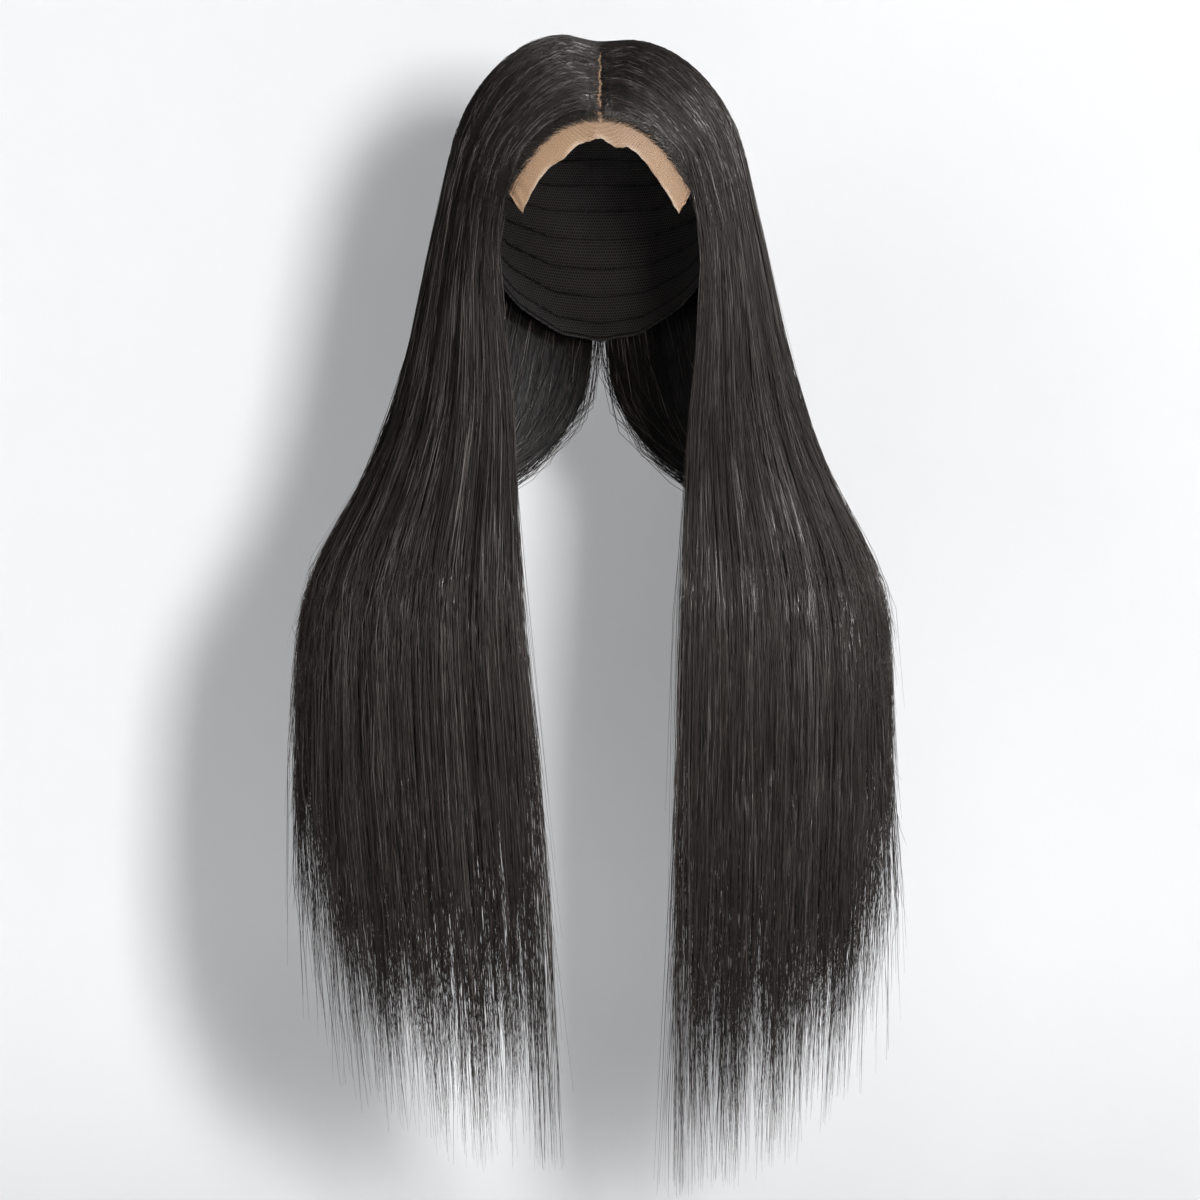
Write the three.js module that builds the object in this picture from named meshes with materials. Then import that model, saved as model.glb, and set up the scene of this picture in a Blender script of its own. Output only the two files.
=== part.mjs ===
// A lace closure wig: long straight hair with a centre parting, drawn forward over both shoulders.
//
// Millimetres, +Z up. The wig faces -Y, and left and right are as seen from the front, so left is -X.
// The origin is the inside of the crown, where the top of the head touches the cap.
//
// Six pieces make the wig. A sheer lace closure covers the front and top of the head. A stretch cap
// with sewn wefts covers the rest. Each side carries two sheets of hair in locks that are fused along
// their length and part into points at the tips: the hair tied into the closure, which frames the
// face, and behind it the hair sewn to the cap, which comes round from the back of the head.

import * as THREE from 'three';
import { mergeVertices } from 'three/addons/utils/BufferGeometryUtils.js';

// The head form that the cap fits: an ellipsoid, deeper below its widest level than above it.
const HEAD_HALF_WIDTH = 78;
const HEAD_HALF_LENGTH = 99;
const CROWN_HEIGHT = 100;
const NAPE_DEPTH = 115;

// Walls and gaps.
const LACE_WALL = 1.0;
const CAP_WALL = 1.2;
const SEAM_GAP_DEG = 0.4;
const HAIR_SEAT = CAP_WALL + 1.2;
const LEAST_HAIR = 1.3;

// The parting runs along the middle of the head, from the hairline to the whorl behind the crown.
const PARTING_HALF_WIDTH = 1.2;
const BACK_SEAM_HALF_WIDTH = 0.4;
const HAIRLINE_POLAR = 58;
const CROWN_POLAR = -12;
const WHORL_POLAR = -21;

// How steeply the hair rises from the parting to its full height over the head, on each side.
const ARC_STEPS = 5;
const RISE_LEFT = 3.2;
const RISE_RIGHT = 2.1;

// How far the hairline bows up between the parting and the temple, on the ball of the head form.
const HAIRLINE_BOW = 0.1;

// The locks' ridges begin at one share of the hair's length and are full at another, in hair this thick.
const RIDGES_START = 0.1;
const RIDGES_FULL = 0.5;
const RIDGES_NEED = 16;

// Mesh steps: columns are across the hair, rows are along it.
const COLUMNS_PER_LOCK = 4;
const HAIR_ROWS = 23;
const LACE_COLUMNS = 20;
const LACE_ROWS = 10;
const CAP_COLUMNS = 30;
const CAP_ROWS = 7;

// Turns rows of numbers into objects with the named columns.
function table(columns, rows) {
  return rows.map((row) => Object.fromEntries(columns.map((name, i) => [name, row[i]])));
}

// The lace's outline, from the middle of the forehead (share 0) to the temple seam (share 1).
// Azimuth is measured from the front, and the polar angle from straight up.
const LACE_OUTLINE = table(
  ['share', 'frontAzimuth', 'frontPolar', 'backAzimuth', 'backPolar'],
  [
    [0.0, 0, 70, 180, 22],
    [0.3, 12, 72.5, 148, 27.5],
    [0.5, 21, 78.5, 124, 36.5],
    [0.7, 31, 88, 100, 47.5],
    [0.8, 36.5, 94.5, 84, 55],
    [0.9, 44, 88, 68, 66],
    [1.0, 51, 82, 60, 73],
  ],
);

// The cap's lower edge, from the temple round over the ear to the nape.
const CAP_RIM = table(
  ['azimuth', 'polar'],
  [
    [60, 94],
    [76, 105],
    [84, 97],
    [100, 96],
    [116, 108],
    [132, 119],
    [156, 129],
    [180, 132],
  ],
);

// The hair's outline at each level below the temple, seen from above as a rounded C on each side:
// from the edge beside the face, out to the widest point, and round to the edge at the back.
// The closure's hair ends at sideY there and the wefts' hair starts at weftY, just behind it.
// thick is the sheets' thickness, and joint the share of it that is left at the widest point.
const LEVELS = table(
  ['z', 'frontLeft', 'frontRight', 'frontY', 'sideLeft', 'sideRight', 'sideY', 'weftY',
    'backX', 'backY', 'thick', 'joint'],
  [
    [-86, 57.5, 57, -72, 96, 93, 2, 2.9, 0.4, 113, 22, 1.0],
    [-124, 61, 61, -70, 104.5, 101.5, 3, 3.9, 0.4, 115, 20, 1.0],
    [-167, 60, 61.5, -70, 112.5, 110.5, 5, 5.9, 1.5, 105, 18, 1.0],
    [-217, 52.5, 55, -69, 124.5, 122.5, 6, 7.2, 8, 92, 18, 0.9],
    [-257, 51, 52, -68, 139.5, 138, 6, 8.5, 36, 80, 17, 0.7],
    [-292, 49, 50, -71, 160, 156, 1, 6, 88, 53, 16, 0.5],
    [-324, 47, 49, -78, 176, 170, -9, -1, 122, 19, 16, 0.4],
    [-362, 45, 48, -86, 184, 177, -22, -12, 130, -6, 16, 0.35],
    [-442, 37, 46, -92, 185, 177, -36, -25, 124, -14, 16, 0.3],
    [-562, 29, 44, -92, 174, 171, -43, -33, 116, -22, 13, 0.3],
    [-682, 26.5, 43.5, -90, 160, 162, -46, -38, 110, -30, 3, 0.5],
  ],
);
const LENGTHS_START_Z = -442;
const LONGEST_TIP_Z = -682;

// One row for each lock, from the face outwards and then round to the back of the head.
const LOCK_COLUMNS = ['tipLeft', 'tipRight', 'ridge'];
const CLOSURE_LOCKS = table(LOCK_COLUMNS, [
  [-667, -682, 3.0],
  [-668, -676, 4.0],
  [-657, -666, 3.5],
  [-640, -642, 4.0],
  [-616, -616, 3.5],
  [-584, -586, 2.5],
]);
const WEFT_LOCKS = table(LOCK_COLUMNS, [
  [-540, -548, 2.5],
  [-560, -564, 3.5],
  [-584, -580, 4.0],
  [-600, -596, 3.5],
  [-598, -600, 4.0],
  [-584, -588, 3.0],
]);
const NOTCH_RISE = 75;

const { clamp, lerp, smoothstep, degToRad } = THREE.MathUtils;

// Reads a column of a table between its rows, by straight lines.
function between(rows, key, at, column) {
  const above = rows.findIndex((row) => row[key] >= at);
  const next = above < 0 ? rows.length - 1 : Math.max(1, above);
  const from = rows[next - 1];
  const to = rows[next];
  return lerp(from[column], to[column], (at - from[key]) / (to[key] - from[key]));
}

// Reads a column of a table at a row number that may lie between two rows.
function atRow(rows, row, column) {
  const low = clamp(Math.floor(row), 0, rows.length - 2);
  return lerp(rows[low][column], rows[low + 1][column], clamp(row - low, 0, 1));
}

// A point on the head form, lifted off it. A negative polar angle leans the other way.
function onHead(azimuth, polar, lift) {
  const turn = degToRad(azimuth);
  const lean = degToRad(polar);
  const height = Math.cos(lean) < 0 ? NAPE_DEPTH : CROWN_HEIGHT;
  return new THREE.Vector3(
    (HEAD_HALF_WIDTH + lift) * Math.sin(lean) * Math.sin(turn),
    -(HEAD_HALF_LENGTH + lift) * Math.sin(lean) * Math.cos(turn),
    (height + lift) * Math.cos(lean) - CROWN_HEIGHT,
  );
}

// The head form, lifted, is a unit ball in these coordinates.
function headScale(point, lift) {
  const height = point.z < -CROWN_HEIGHT ? NAPE_DEPTH : CROWN_HEIGHT;
  return new THREE.Vector3(HEAD_HALF_WIDTH + lift, HEAD_HALF_LENGTH + lift, height + lift);
}

function toBall(point, lift) {
  const fromCentre = new THREE.Vector3(point.x, point.y, point.z + CROWN_HEIGHT);
  return fromCentre.divide(headScale(point, lift));
}

function fromBall(ball, lift) {
  const height = ball.z < 0 ? NAPE_DEPTH : CROWN_HEIGHT;
  return new THREE.Vector3(
    ball.x * (HEAD_HALF_WIDTH + lift),
    ball.y * (HEAD_HALF_LENGTH + lift),
    ball.z * (height + lift) - CROWN_HEIGHT,
  );
}

// The point at that lift above the head that lies straight under, or over, the given one.
function ontoHead(point, lift) {
  return fromBall(toBall(point, lift).normalize(), lift);
}

// Moves a point that is too close to the head straight out to that lift.
function keepOff(point, lift) {
  return toBall(point, lift).length() < 1 ? ontoHead(point, lift) : point;
}

// The shortest way over the ball from one point to another, bowed up on the way. A high rise soon
// reaches the far radius.
function arcOverHead(start, end, share, rise = 1, bow = 0) {
  const from = toBall(start, 0);
  const to = toBall(end, 0);
  const angle = from.angleTo(to);
  const radius = lerp(from.length(), to.length(), 1 - (1 - share) ** rise);
  const direction = from.normalize().multiplyScalar(Math.sin((1 - share) * angle));
  direction.addScaledVector(to.normalize(), Math.sin(share * angle)).normalize();
  direction.z += bow * Math.sin(Math.PI * share);
  return fromBall(direction.setLength(radius), 0);
}

// A closed wall: a box with its corners, edges and faces bent to where place(across, along, inward)
// puts them. A bend that mirrors the box has its faces turned back to point out.
function bentBox(columns, rows, place, mirrored = false) {
  const box = new THREE.BoxGeometry(1, 1, 1, columns, rows, 1);
  box.deleteAttribute('normal');
  box.deleteAttribute('uv');
  const wall = mergeVertices(box);
  const corners = wall.getAttribute('position');
  for (let i = 0; i < corners.count; i += 1) {
    const point = place(corners.getX(i) + 0.5, corners.getY(i) + 0.5, corners.getZ(i) + 0.5);
    corners.setXYZ(i, point.x, point.y, point.z);
  }
  if (mirrored) {
    wall.index.array.reverse();
  }
  wall.computeVertexNormals();
  return wall;
}

// The lace closure: a thin patch over the forehead and crown with a pointed tab at each temple.
function laceClosure() {
  return bentBox(LACE_COLUMNS, LACE_ROWS, (across, along, inward) => {
    const side = across < 0.5 ? -1 : 1;
    const share = Math.abs(2 * across - 1);
    const edge = (column) => between(LACE_OUTLINE, 'share', share, column);
    const lift = LACE_WALL * (1 - inward);
    const front = onHead(side * edge('frontAzimuth'), edge('frontPolar'), 0);
    const back = onHead(side * edge('backAzimuth'), edge('backPolar'), 0);
    return ontoHead(arcOverHead(front, back, along), lift);
  }, true);
}

// The wefted cap: a band from the lace's back seam down to the ears and the nape.
function weftedCap() {
  const seam = [...LACE_OUTLINE].reverse();
  const start = CAP_RIM[0].azimuth;
  return bentBox(CAP_COLUMNS, CAP_ROWS, (across, along, inward) => {
    const azimuth = lerp(start, 360 - start, across);
    const fromFront = Math.min(azimuth, 360 - azimuth);
    const top = between(seam, 'backAzimuth', fromFront, 'backPolar') + SEAM_GAP_DEG;
    const rim = between(CAP_RIM, 'azimuth', fromFront, 'polar');
    return onHead(azimuth, lerp(top, rim, along), CAP_WALL * (1 - inward));
  });
}

// The two kinds of hair sheet differ in where they start on the parting and in their part of the C.
const CLOSURE_HAIR = {
  locks: CLOSURE_LOCKS,
  rootPolar: [HAIRLINE_POLAR, CROWN_POLAR],
  rootX: [PARTING_HALF_WIDTH, PARTING_HALF_WIDTH],
  bow: HAIRLINE_BOW,
  outline: (level, turn) => ({
    x: level.front + (level.side - level.front) * Math.sin(turn),
    y: level.sideY + (level.frontY - level.sideY) * Math.cos(turn),
  }),
  // Thin at the hairline and beside the face, and thinner again where the back hair meets it.
  fullness: (across, joint) =>
    lerp(0.3, 1, smoothstep(across, 0, 0.25)) * lerp(1, joint, smoothstep(across, 0.55, 1)),
};
const WEFT_HAIR = {
  locks: WEFT_LOCKS,
  rootPolar: [CROWN_POLAR - 1, WHORL_POLAR],
  rootX: [PARTING_HALF_WIDTH, BACK_SEAM_HALF_WIDTH],
  bow: 0,
  outline: (level, turn) => ({
    x: level.backX + (level.side - level.backX) * Math.cos(turn),
    y: level.weftY + (level.backY - level.weftY) * Math.sin(turn),
  }),
  fullness: (across, joint) => lerp(joint, 1, smoothstep(across, 0, 0.45)),
};

// The lock at a place across the sheet, its neighbour there, and how far across the lock it is.
function lockAt(sheet, across) {
  const place = clamp(across, 0, 1) * sheet.locks.length;
  const index = Math.min(sheet.locks.length - 1, Math.floor(place));
  const within = place - index;
  const lock = sheet.locks[index];
  return { lock, within, neighbour: sheet.locks[index + (within < 0.5 ? -1 : 1)] ?? lock };
}

// The height at which the hair ends, in points: each lock's own tip, with a notch between locks.
function tipZ(sheet, tipColumn, across) {
  const { lock, within, neighbour } = lockAt(sheet, across);
  const notch = (lock[tipColumn] + neighbour[tipColumn]) / 2 + NOTCH_RISE;
  return lerp(notch, lock[tipColumn], Math.sin(Math.PI * within));
}

// One lock's rounded ridge across its width.
function ridgeHeight(sheet, across) {
  const { lock, within } = lockAt(sheet, across);
  return lock.ridge * 4 * within * (1 - within);
}

// The line that the outermost hair follows, from its root at the parting to its tip.
function combedLine(sheet, side, across) {
  const turn = (across * Math.PI) / 2;
  const frontColumn = side < 0 ? 'frontLeft' : 'frontRight';
  const sideColumn = side < 0 ? 'sideLeft' : 'sideRight';
  const tip = tipZ(sheet, side < 0 ? 'tipLeft' : 'tipRight', across);
  const reach = (tip - LENGTHS_START_Z) / (LONGEST_TIP_Z - LENGTHS_START_Z);
  const hanging = LEVELS.map((level) => {
    const { x, y } = sheet.outline({ ...level, front: level[frontColumn], side: level[sideColumn] }, turn);
    const below = Math.min(0, level.z - LENGTHS_START_Z);
    return new THREE.Vector3(side * x, y, Math.max(level.z, LENGTHS_START_Z) + below * reach);
  });
  const polar = lerp(...sheet.rootPolar, across);
  const root = onHead(0, polar, HAIR_SEAT + LEAST_HAIR);
  root.x = side * lerp(...sheet.rootX, across);
  const rise = side < 0 ? RISE_LEFT : RISE_RIGHT;
  const shares = Array.from({ length: ARC_STEPS }, (_, i) => i / ARC_STEPS);
  const bow = sheet.bow * (1 - across) ** 2;
  const overHead = shares.map((share) => arcOverHead(root, hanging[0], share, rise, bow));
  return new THREE.CatmullRomCurve3([...overHead, ...hanging], false, 'centripetal');
}

// A sheet of hair from the parting to the tips, on one side of the head.
function hairSheet(sheet, side) {
  const columns = sheet.locks.length * COLUMNS_PER_LOCK;
  const lines = new Map();
  const line = (across) => {
    if (!lines.has(across)) {
      lines.set(across, combedLine(sheet, side, across));
    }
    return lines.get(across);
  };

  // Which way is out, from the lines on both sides of this one. The outline runs on past the sheet's
  // edges, so that two sheets that meet share the direction there.
  const outward = (across, along) => {
    const step = 1 / columns;
    const at = clamp(along, 1 / HAIR_ROWS, 1 - 1 / HAIR_ROWS);
    const sideways = line(across + step).getPoint(at).sub(line(across - step).getPoint(at));
    const downward = line(across).getTangent(at);
    return downward.cross(sideways).multiplyScalar(side).normalize();
  };

  // Over the head the hair fills the room down to the cap. Below, it has its level's thickness.
  const place = (across, along, inward) => {
    const row = along * (ARC_STEPS + LEVELS.length - 1) - ARC_STEPS;
    const thick = atRow(LEVELS, row, 'thick') * sheet.fullness(across, atRow(LEVELS, row, 'joint'));
    const out = outward(across, along);
    const shown = smoothstep(along, RIDGES_START, RIDGES_FULL) * Math.min(1, thick / RIDGES_NEED);
    const relief = ridgeHeight(sheet, across) * shown;
    const point = line(across).getPoint(along).addScaledVector(out, relief);
    const outer = keepOff(point, HAIR_SEAT + LEAST_HAIR);
    if (inward < 0.5) {
      return outer;
    }
    if (row < 0) {
      return ontoHead(outer, HAIR_SEAT);
    }
    return keepOff(outer.addScaledVector(out, -thick - relief), HAIR_SEAT);
  };
  return bentBox(columns, HAIR_ROWS, place, side < 0);
}

// Finishes: sheer beige lace, dark stretch net and natural black hair with a soft sheen.
const LACE_FINISH = { color: 0xcdab88, roughness: 0.85, metalness: 0 };
const CAP_FINISH = { color: 0x1d1917, roughness: 0.9, metalness: 0 };
const HAIR_FINISH = { color: 0x1c1715, roughness: 0.4, metalness: 0 };

const wig = new THREE.Group();

function addPiece(name, geometry, finish) {
  const piece = new THREE.Mesh(geometry, new THREE.MeshStandardMaterial(finish));
  piece.name = name;
  wig.add(piece);
}

addPiece('lace_closure', laceClosure(), LACE_FINISH);
addPiece('wefted_cap', weftedCap(), CAP_FINISH);
for (const [sideName, side] of [['left', -1], ['right', 1]]) {
  addPiece(`closure_hair_${sideName}`, hairSheet(CLOSURE_HAIR, side), HAIR_FINISH);
  addPiece(`weft_hair_${sideName}`, hairSheet(WEFT_HAIR, side), HAIR_FINISH);
}

export default wig;
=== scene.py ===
# %% [markdown]
# # A lace closure wig
#
# This lesson dresses a wig: long, straight, natural black hair with a centre parting, tied into a sheer
# lace closure at the front and sewn in wefts to a stretch cap at the back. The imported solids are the
# frame. They hold the true sizes, and every piece made here stands in for one of them and keeps its form.

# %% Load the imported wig
import math

import bmesh
import bpy
import numpy as np
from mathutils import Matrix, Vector


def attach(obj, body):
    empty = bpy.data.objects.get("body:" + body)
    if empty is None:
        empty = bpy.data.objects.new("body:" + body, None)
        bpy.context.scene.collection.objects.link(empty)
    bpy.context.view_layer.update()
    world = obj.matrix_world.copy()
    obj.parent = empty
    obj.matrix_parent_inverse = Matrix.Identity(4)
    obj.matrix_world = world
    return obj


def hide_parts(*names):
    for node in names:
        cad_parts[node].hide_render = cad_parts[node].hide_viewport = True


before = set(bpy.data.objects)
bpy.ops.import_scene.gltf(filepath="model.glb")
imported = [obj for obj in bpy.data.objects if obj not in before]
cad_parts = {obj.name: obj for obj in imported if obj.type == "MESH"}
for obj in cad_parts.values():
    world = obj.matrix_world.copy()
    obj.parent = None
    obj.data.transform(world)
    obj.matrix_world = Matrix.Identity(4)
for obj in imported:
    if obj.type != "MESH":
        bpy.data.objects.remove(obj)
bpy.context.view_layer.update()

print("solids:", ", ".join(sorted(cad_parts)))

# %% [markdown]
# ## The head form
#
# A wig is made on a head form, so every piece here is placed from one too: an ellipsoid that is deeper
# below its widest level than above it. Scaled to a unit ball it becomes simple geometry. A point goes
# onto the head by giving it length 1, and the shortest way over the head is an arc of a circle.

# %% Points on the head form
MM = 0.001
HEAD_HALF_WIDTH = 78 * MM
HEAD_HALF_LENGTH = 99 * MM
HEAD_MEAN_RADIUS = (HEAD_HALF_WIDTH + HEAD_HALF_LENGTH) / 2
CROWN_HEIGHT = 100 * MM
NAPE_DEPTH = 115 * MM
HEAD_CENTRE = np.array([0.0, 0.0, -CROWN_HEIGHT])


def unit(vectors):
    """The same directions with length 1."""
    return vectors / np.maximum(np.linalg.norm(vectors, axis=-1, keepdims=True), 1e-12)


def head_radii(below, lift):
    """The head form's three radii, lifted, for points above or below its widest level."""
    height = np.where(below, NAPE_DEPTH, CROWN_HEIGHT)
    radii = [np.full(height.shape, HEAD_HALF_WIDTH), np.full(height.shape, HEAD_HALF_LENGTH), height]
    return np.stack(radii, axis=-1) + np.asarray(lift)[..., None]


def to_ball(points, lift):
    """Points in coordinates where the lifted head form is a unit ball."""
    from_centre = points - HEAD_CENTRE
    return from_centre / head_radii(from_centre[..., 2] < 0, lift)


def from_ball(ball, lift):
    """Back from the unit ball to metres."""
    return ball * head_radii(ball[..., 2] < 0, lift) + HEAD_CENTRE


def on_head(azimuth, polar, lift):
    """Points on the head form: azimuth from the front, polar angle from straight up, in degrees."""
    turn = np.radians(azimuth)
    lean = np.radians(polar)
    ball = np.broadcast_arrays(np.sin(lean) * np.sin(turn), -np.sin(lean) * np.cos(turn), np.cos(lean))
    return from_ball(np.stack(ball, axis=-1), lift)


def onto_head(points, lift):
    """The points at that lift straight under, or over, the given ones."""
    return from_ball(unit(to_ball(points, lift)), lift)


def keep_off(points, lift):
    """Moves points that are too close to the head straight out to that lift."""
    ball = to_ball(points, lift)
    radius = np.maximum(np.linalg.norm(ball, axis=-1, keepdims=True), 1e-9)
    return from_ball(ball * np.maximum(radius, 1) / radius, lift)


def arc_over_head(start, end, share, rise=1.0, bow=0.0):
    """Points on the shortest way over the head, bowed up. A high rise soon reaches the far height."""
    first = to_ball(start, 0)
    last = to_ball(end, 0)
    near = np.linalg.norm(first, axis=-1)
    far = np.linalg.norm(last, axis=-1)
    angle = np.arccos(np.clip((unit(first) * unit(last)).sum(axis=-1), -1, 1))
    radius = near + (far - near) * (1 - (1 - share) ** rise)
    from_first = unit(first) * np.sin((1 - share) * angle)[..., None]
    from_last = unit(last) * np.sin(share * angle)[..., None]
    way = unit(from_first + from_last)
    way[..., 2] += bow * np.sin(np.pi * share)
    return from_ball(unit(way) * radius[..., None], 0)


print("head round the widest level in mm:", round(2000 * math.pi * HEAD_MEAN_RADIUS))

# %% [markdown]
# ## How the hair is combed
#
# Nobody places ten thousand hairs one by one. Each side of the wig has two sheets of hair, and a sheet is
# described by how it is combed: roots on the parting, an arc over the head, then outlines at a few levels
# on the way down. These tables are the ones the solids were made from, so the hairs lie inside them.

# %% The comb tables
PARTING_HALF_WIDTH = 1.2 * MM
BACK_SEAM_HALF_WIDTH = 0.4 * MM
HAIRLINE_POLAR = 58
HAIRLINE_BOW = 0.1
CROWN_POLAR = -12
WHORL_POLAR = -21
HAIR_SEAT = 2.4 * MM
ROOT_LIFT = HAIR_SEAT + 1.3 * MM
ARC_STEPS = 5
RISE = {"left": 3.2, "right": 2.1}

LEVEL_COLUMNS = (
    "z", "front_left", "front_right", "front_y", "side_left", "side_right",
    "side_y", "weft_y", "back_x", "back_y", "thick", "joint",
)
LEVEL_ROWS = [
    (-86, 57.5, 57, -72, 96, 93, 2, 2.9, 0.4, 113, 22, 1.0),
    (-124, 61, 61, -70, 104.5, 101.5, 3, 3.9, 0.4, 115, 20, 1.0),
    (-167, 60, 61.5, -70, 112.5, 110.5, 5, 5.9, 1.5, 105, 18, 1.0),
    (-217, 52.5, 55, -69, 124.5, 122.5, 6, 7.2, 8, 92, 18, 0.9),
    (-257, 51, 52, -68, 139.5, 138, 6, 8.5, 36, 80, 17, 0.7),
    (-292, 49, 50, -71, 160, 156, 1, 6, 88, 53, 16, 0.5),
    (-324, 47, 49, -78, 176, 170, -9, -1, 122, 19, 16, 0.4),
    (-362, 45, 48, -86, 184, 177, -22, -12, 130, -6, 16, 0.35),
    (-442, 37, 46, -92, 185, 177, -36, -25, 124, -14, 16, 0.3),
    (-562, 29, 44, -92, 174, 171, -43, -33, 116, -22, 13, 0.3),
    (-682, 26.5, 43.5, -90, 160, 162, -46, -38, 110, -30, 3, 0.5),
]
LEVEL = dict(zip(LEVEL_COLUMNS, np.array(LEVEL_ROWS).T))
for column in LEVEL_COLUMNS[:-1]:
    LEVEL[column] = LEVEL[column] * MM
LENGTHS_ROW = 8
LENGTHS_START = LEVEL["z"][LENGTHS_ROW]
LENGTHS_KNOT = ARC_STEPS + LENGTHS_ROW
LONGEST_TIP = LEVEL["z"][-1]
LAST_HAIRS = 20 * MM
KNOTS = ARC_STEPS + len(LEVEL_ROWS)

LOCK_TIPS = {
    "closure_left": (-667, -668, -657, -640, -616, -584),
    "closure_right": (-682, -676, -666, -642, -616, -586),
    "weft_left": (-540, -560, -584, -600, -598, -584),
    "weft_right": (-548, -564, -580, -596, -600, -588),
}
LOCK_RIDGES = {"closure": (3, 4, 3.5, 4, 3.5, 2.5), "weft": (2.5, 3.5, 4, 3.5, 4, 3)}
LOCKS = 6
RIDGES_SHOW = (0.1, 0.5)
RIDGES_NEED = 16 * MM
print("levels:", len(LEVEL_ROWS), "longest hair ends at", LONGEST_TIP, "m")

# %% [markdown]
# The spline that joins the knots is the centripetal kind, which doesn't overshoot where a short step
# follows a long one, as it does where the hair leaves the head.

# %% Curves through knots
def follow(lines, along):
    """Points at shares along a smooth curve through each row of knots."""
    before_first = 2 * lines[:, :1] - lines[:, 1:2]
    after_last = 2 * lines[:, -1:] - lines[:, -2:-1]
    knots = np.concatenate([before_first, lines, after_last], axis=1)
    place = along * (lines.shape[1] - 1)
    low = np.minimum(place.astype(int), lines.shape[1] - 2)
    share = (place - low)[None, :, None]
    before, start, end, after = (knots[:, low + step] for step in range(4))
    gap_in, gap, gap_out = (
        np.sqrt(np.maximum(np.linalg.norm(q - p, axis=-1, keepdims=True), 1e-9))
        for p, q in ((before, start), (start, end), (end, after))
    )
    leave = ((start - before) / gap_in - (end - before) / (gap_in + gap) + (end - start) / gap) * gap
    arrive = ((end - start) / gap - (after - start) / (gap + gap_out) + (after - end) / gap_out) * gap
    bend = 3 * (end - start) - 2 * leave - arrive
    turn = 2 * (start - end) + leave + arrive
    return start + share * (leave + share * (bend + share * turn))


def ease(value, low, high):
    """0 below low, 1 above high, and a smooth step between."""
    share = np.clip((value - low) / (high - low), 0, 1)
    return share * share * (3 - 2 * share)


def waves(place, table):
    """A sum of sine waves, each with a height, a pitch and a start."""
    return sum(height * np.sin(pitch * place + start) for height, pitch, start in table)


# %% [markdown]
# A sheet of hair is then a small field that can be asked one thing: where is the hair that lies this far
# across the sheet, this far along its length and this deep under its surface? It keeps two grids of
# points, the outside and the inside, and reads between them.

# %% Sheets of hair
GRID_COLUMNS = 121
GRID_ROWS = 151
PAST_EDGE = 0.06


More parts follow.
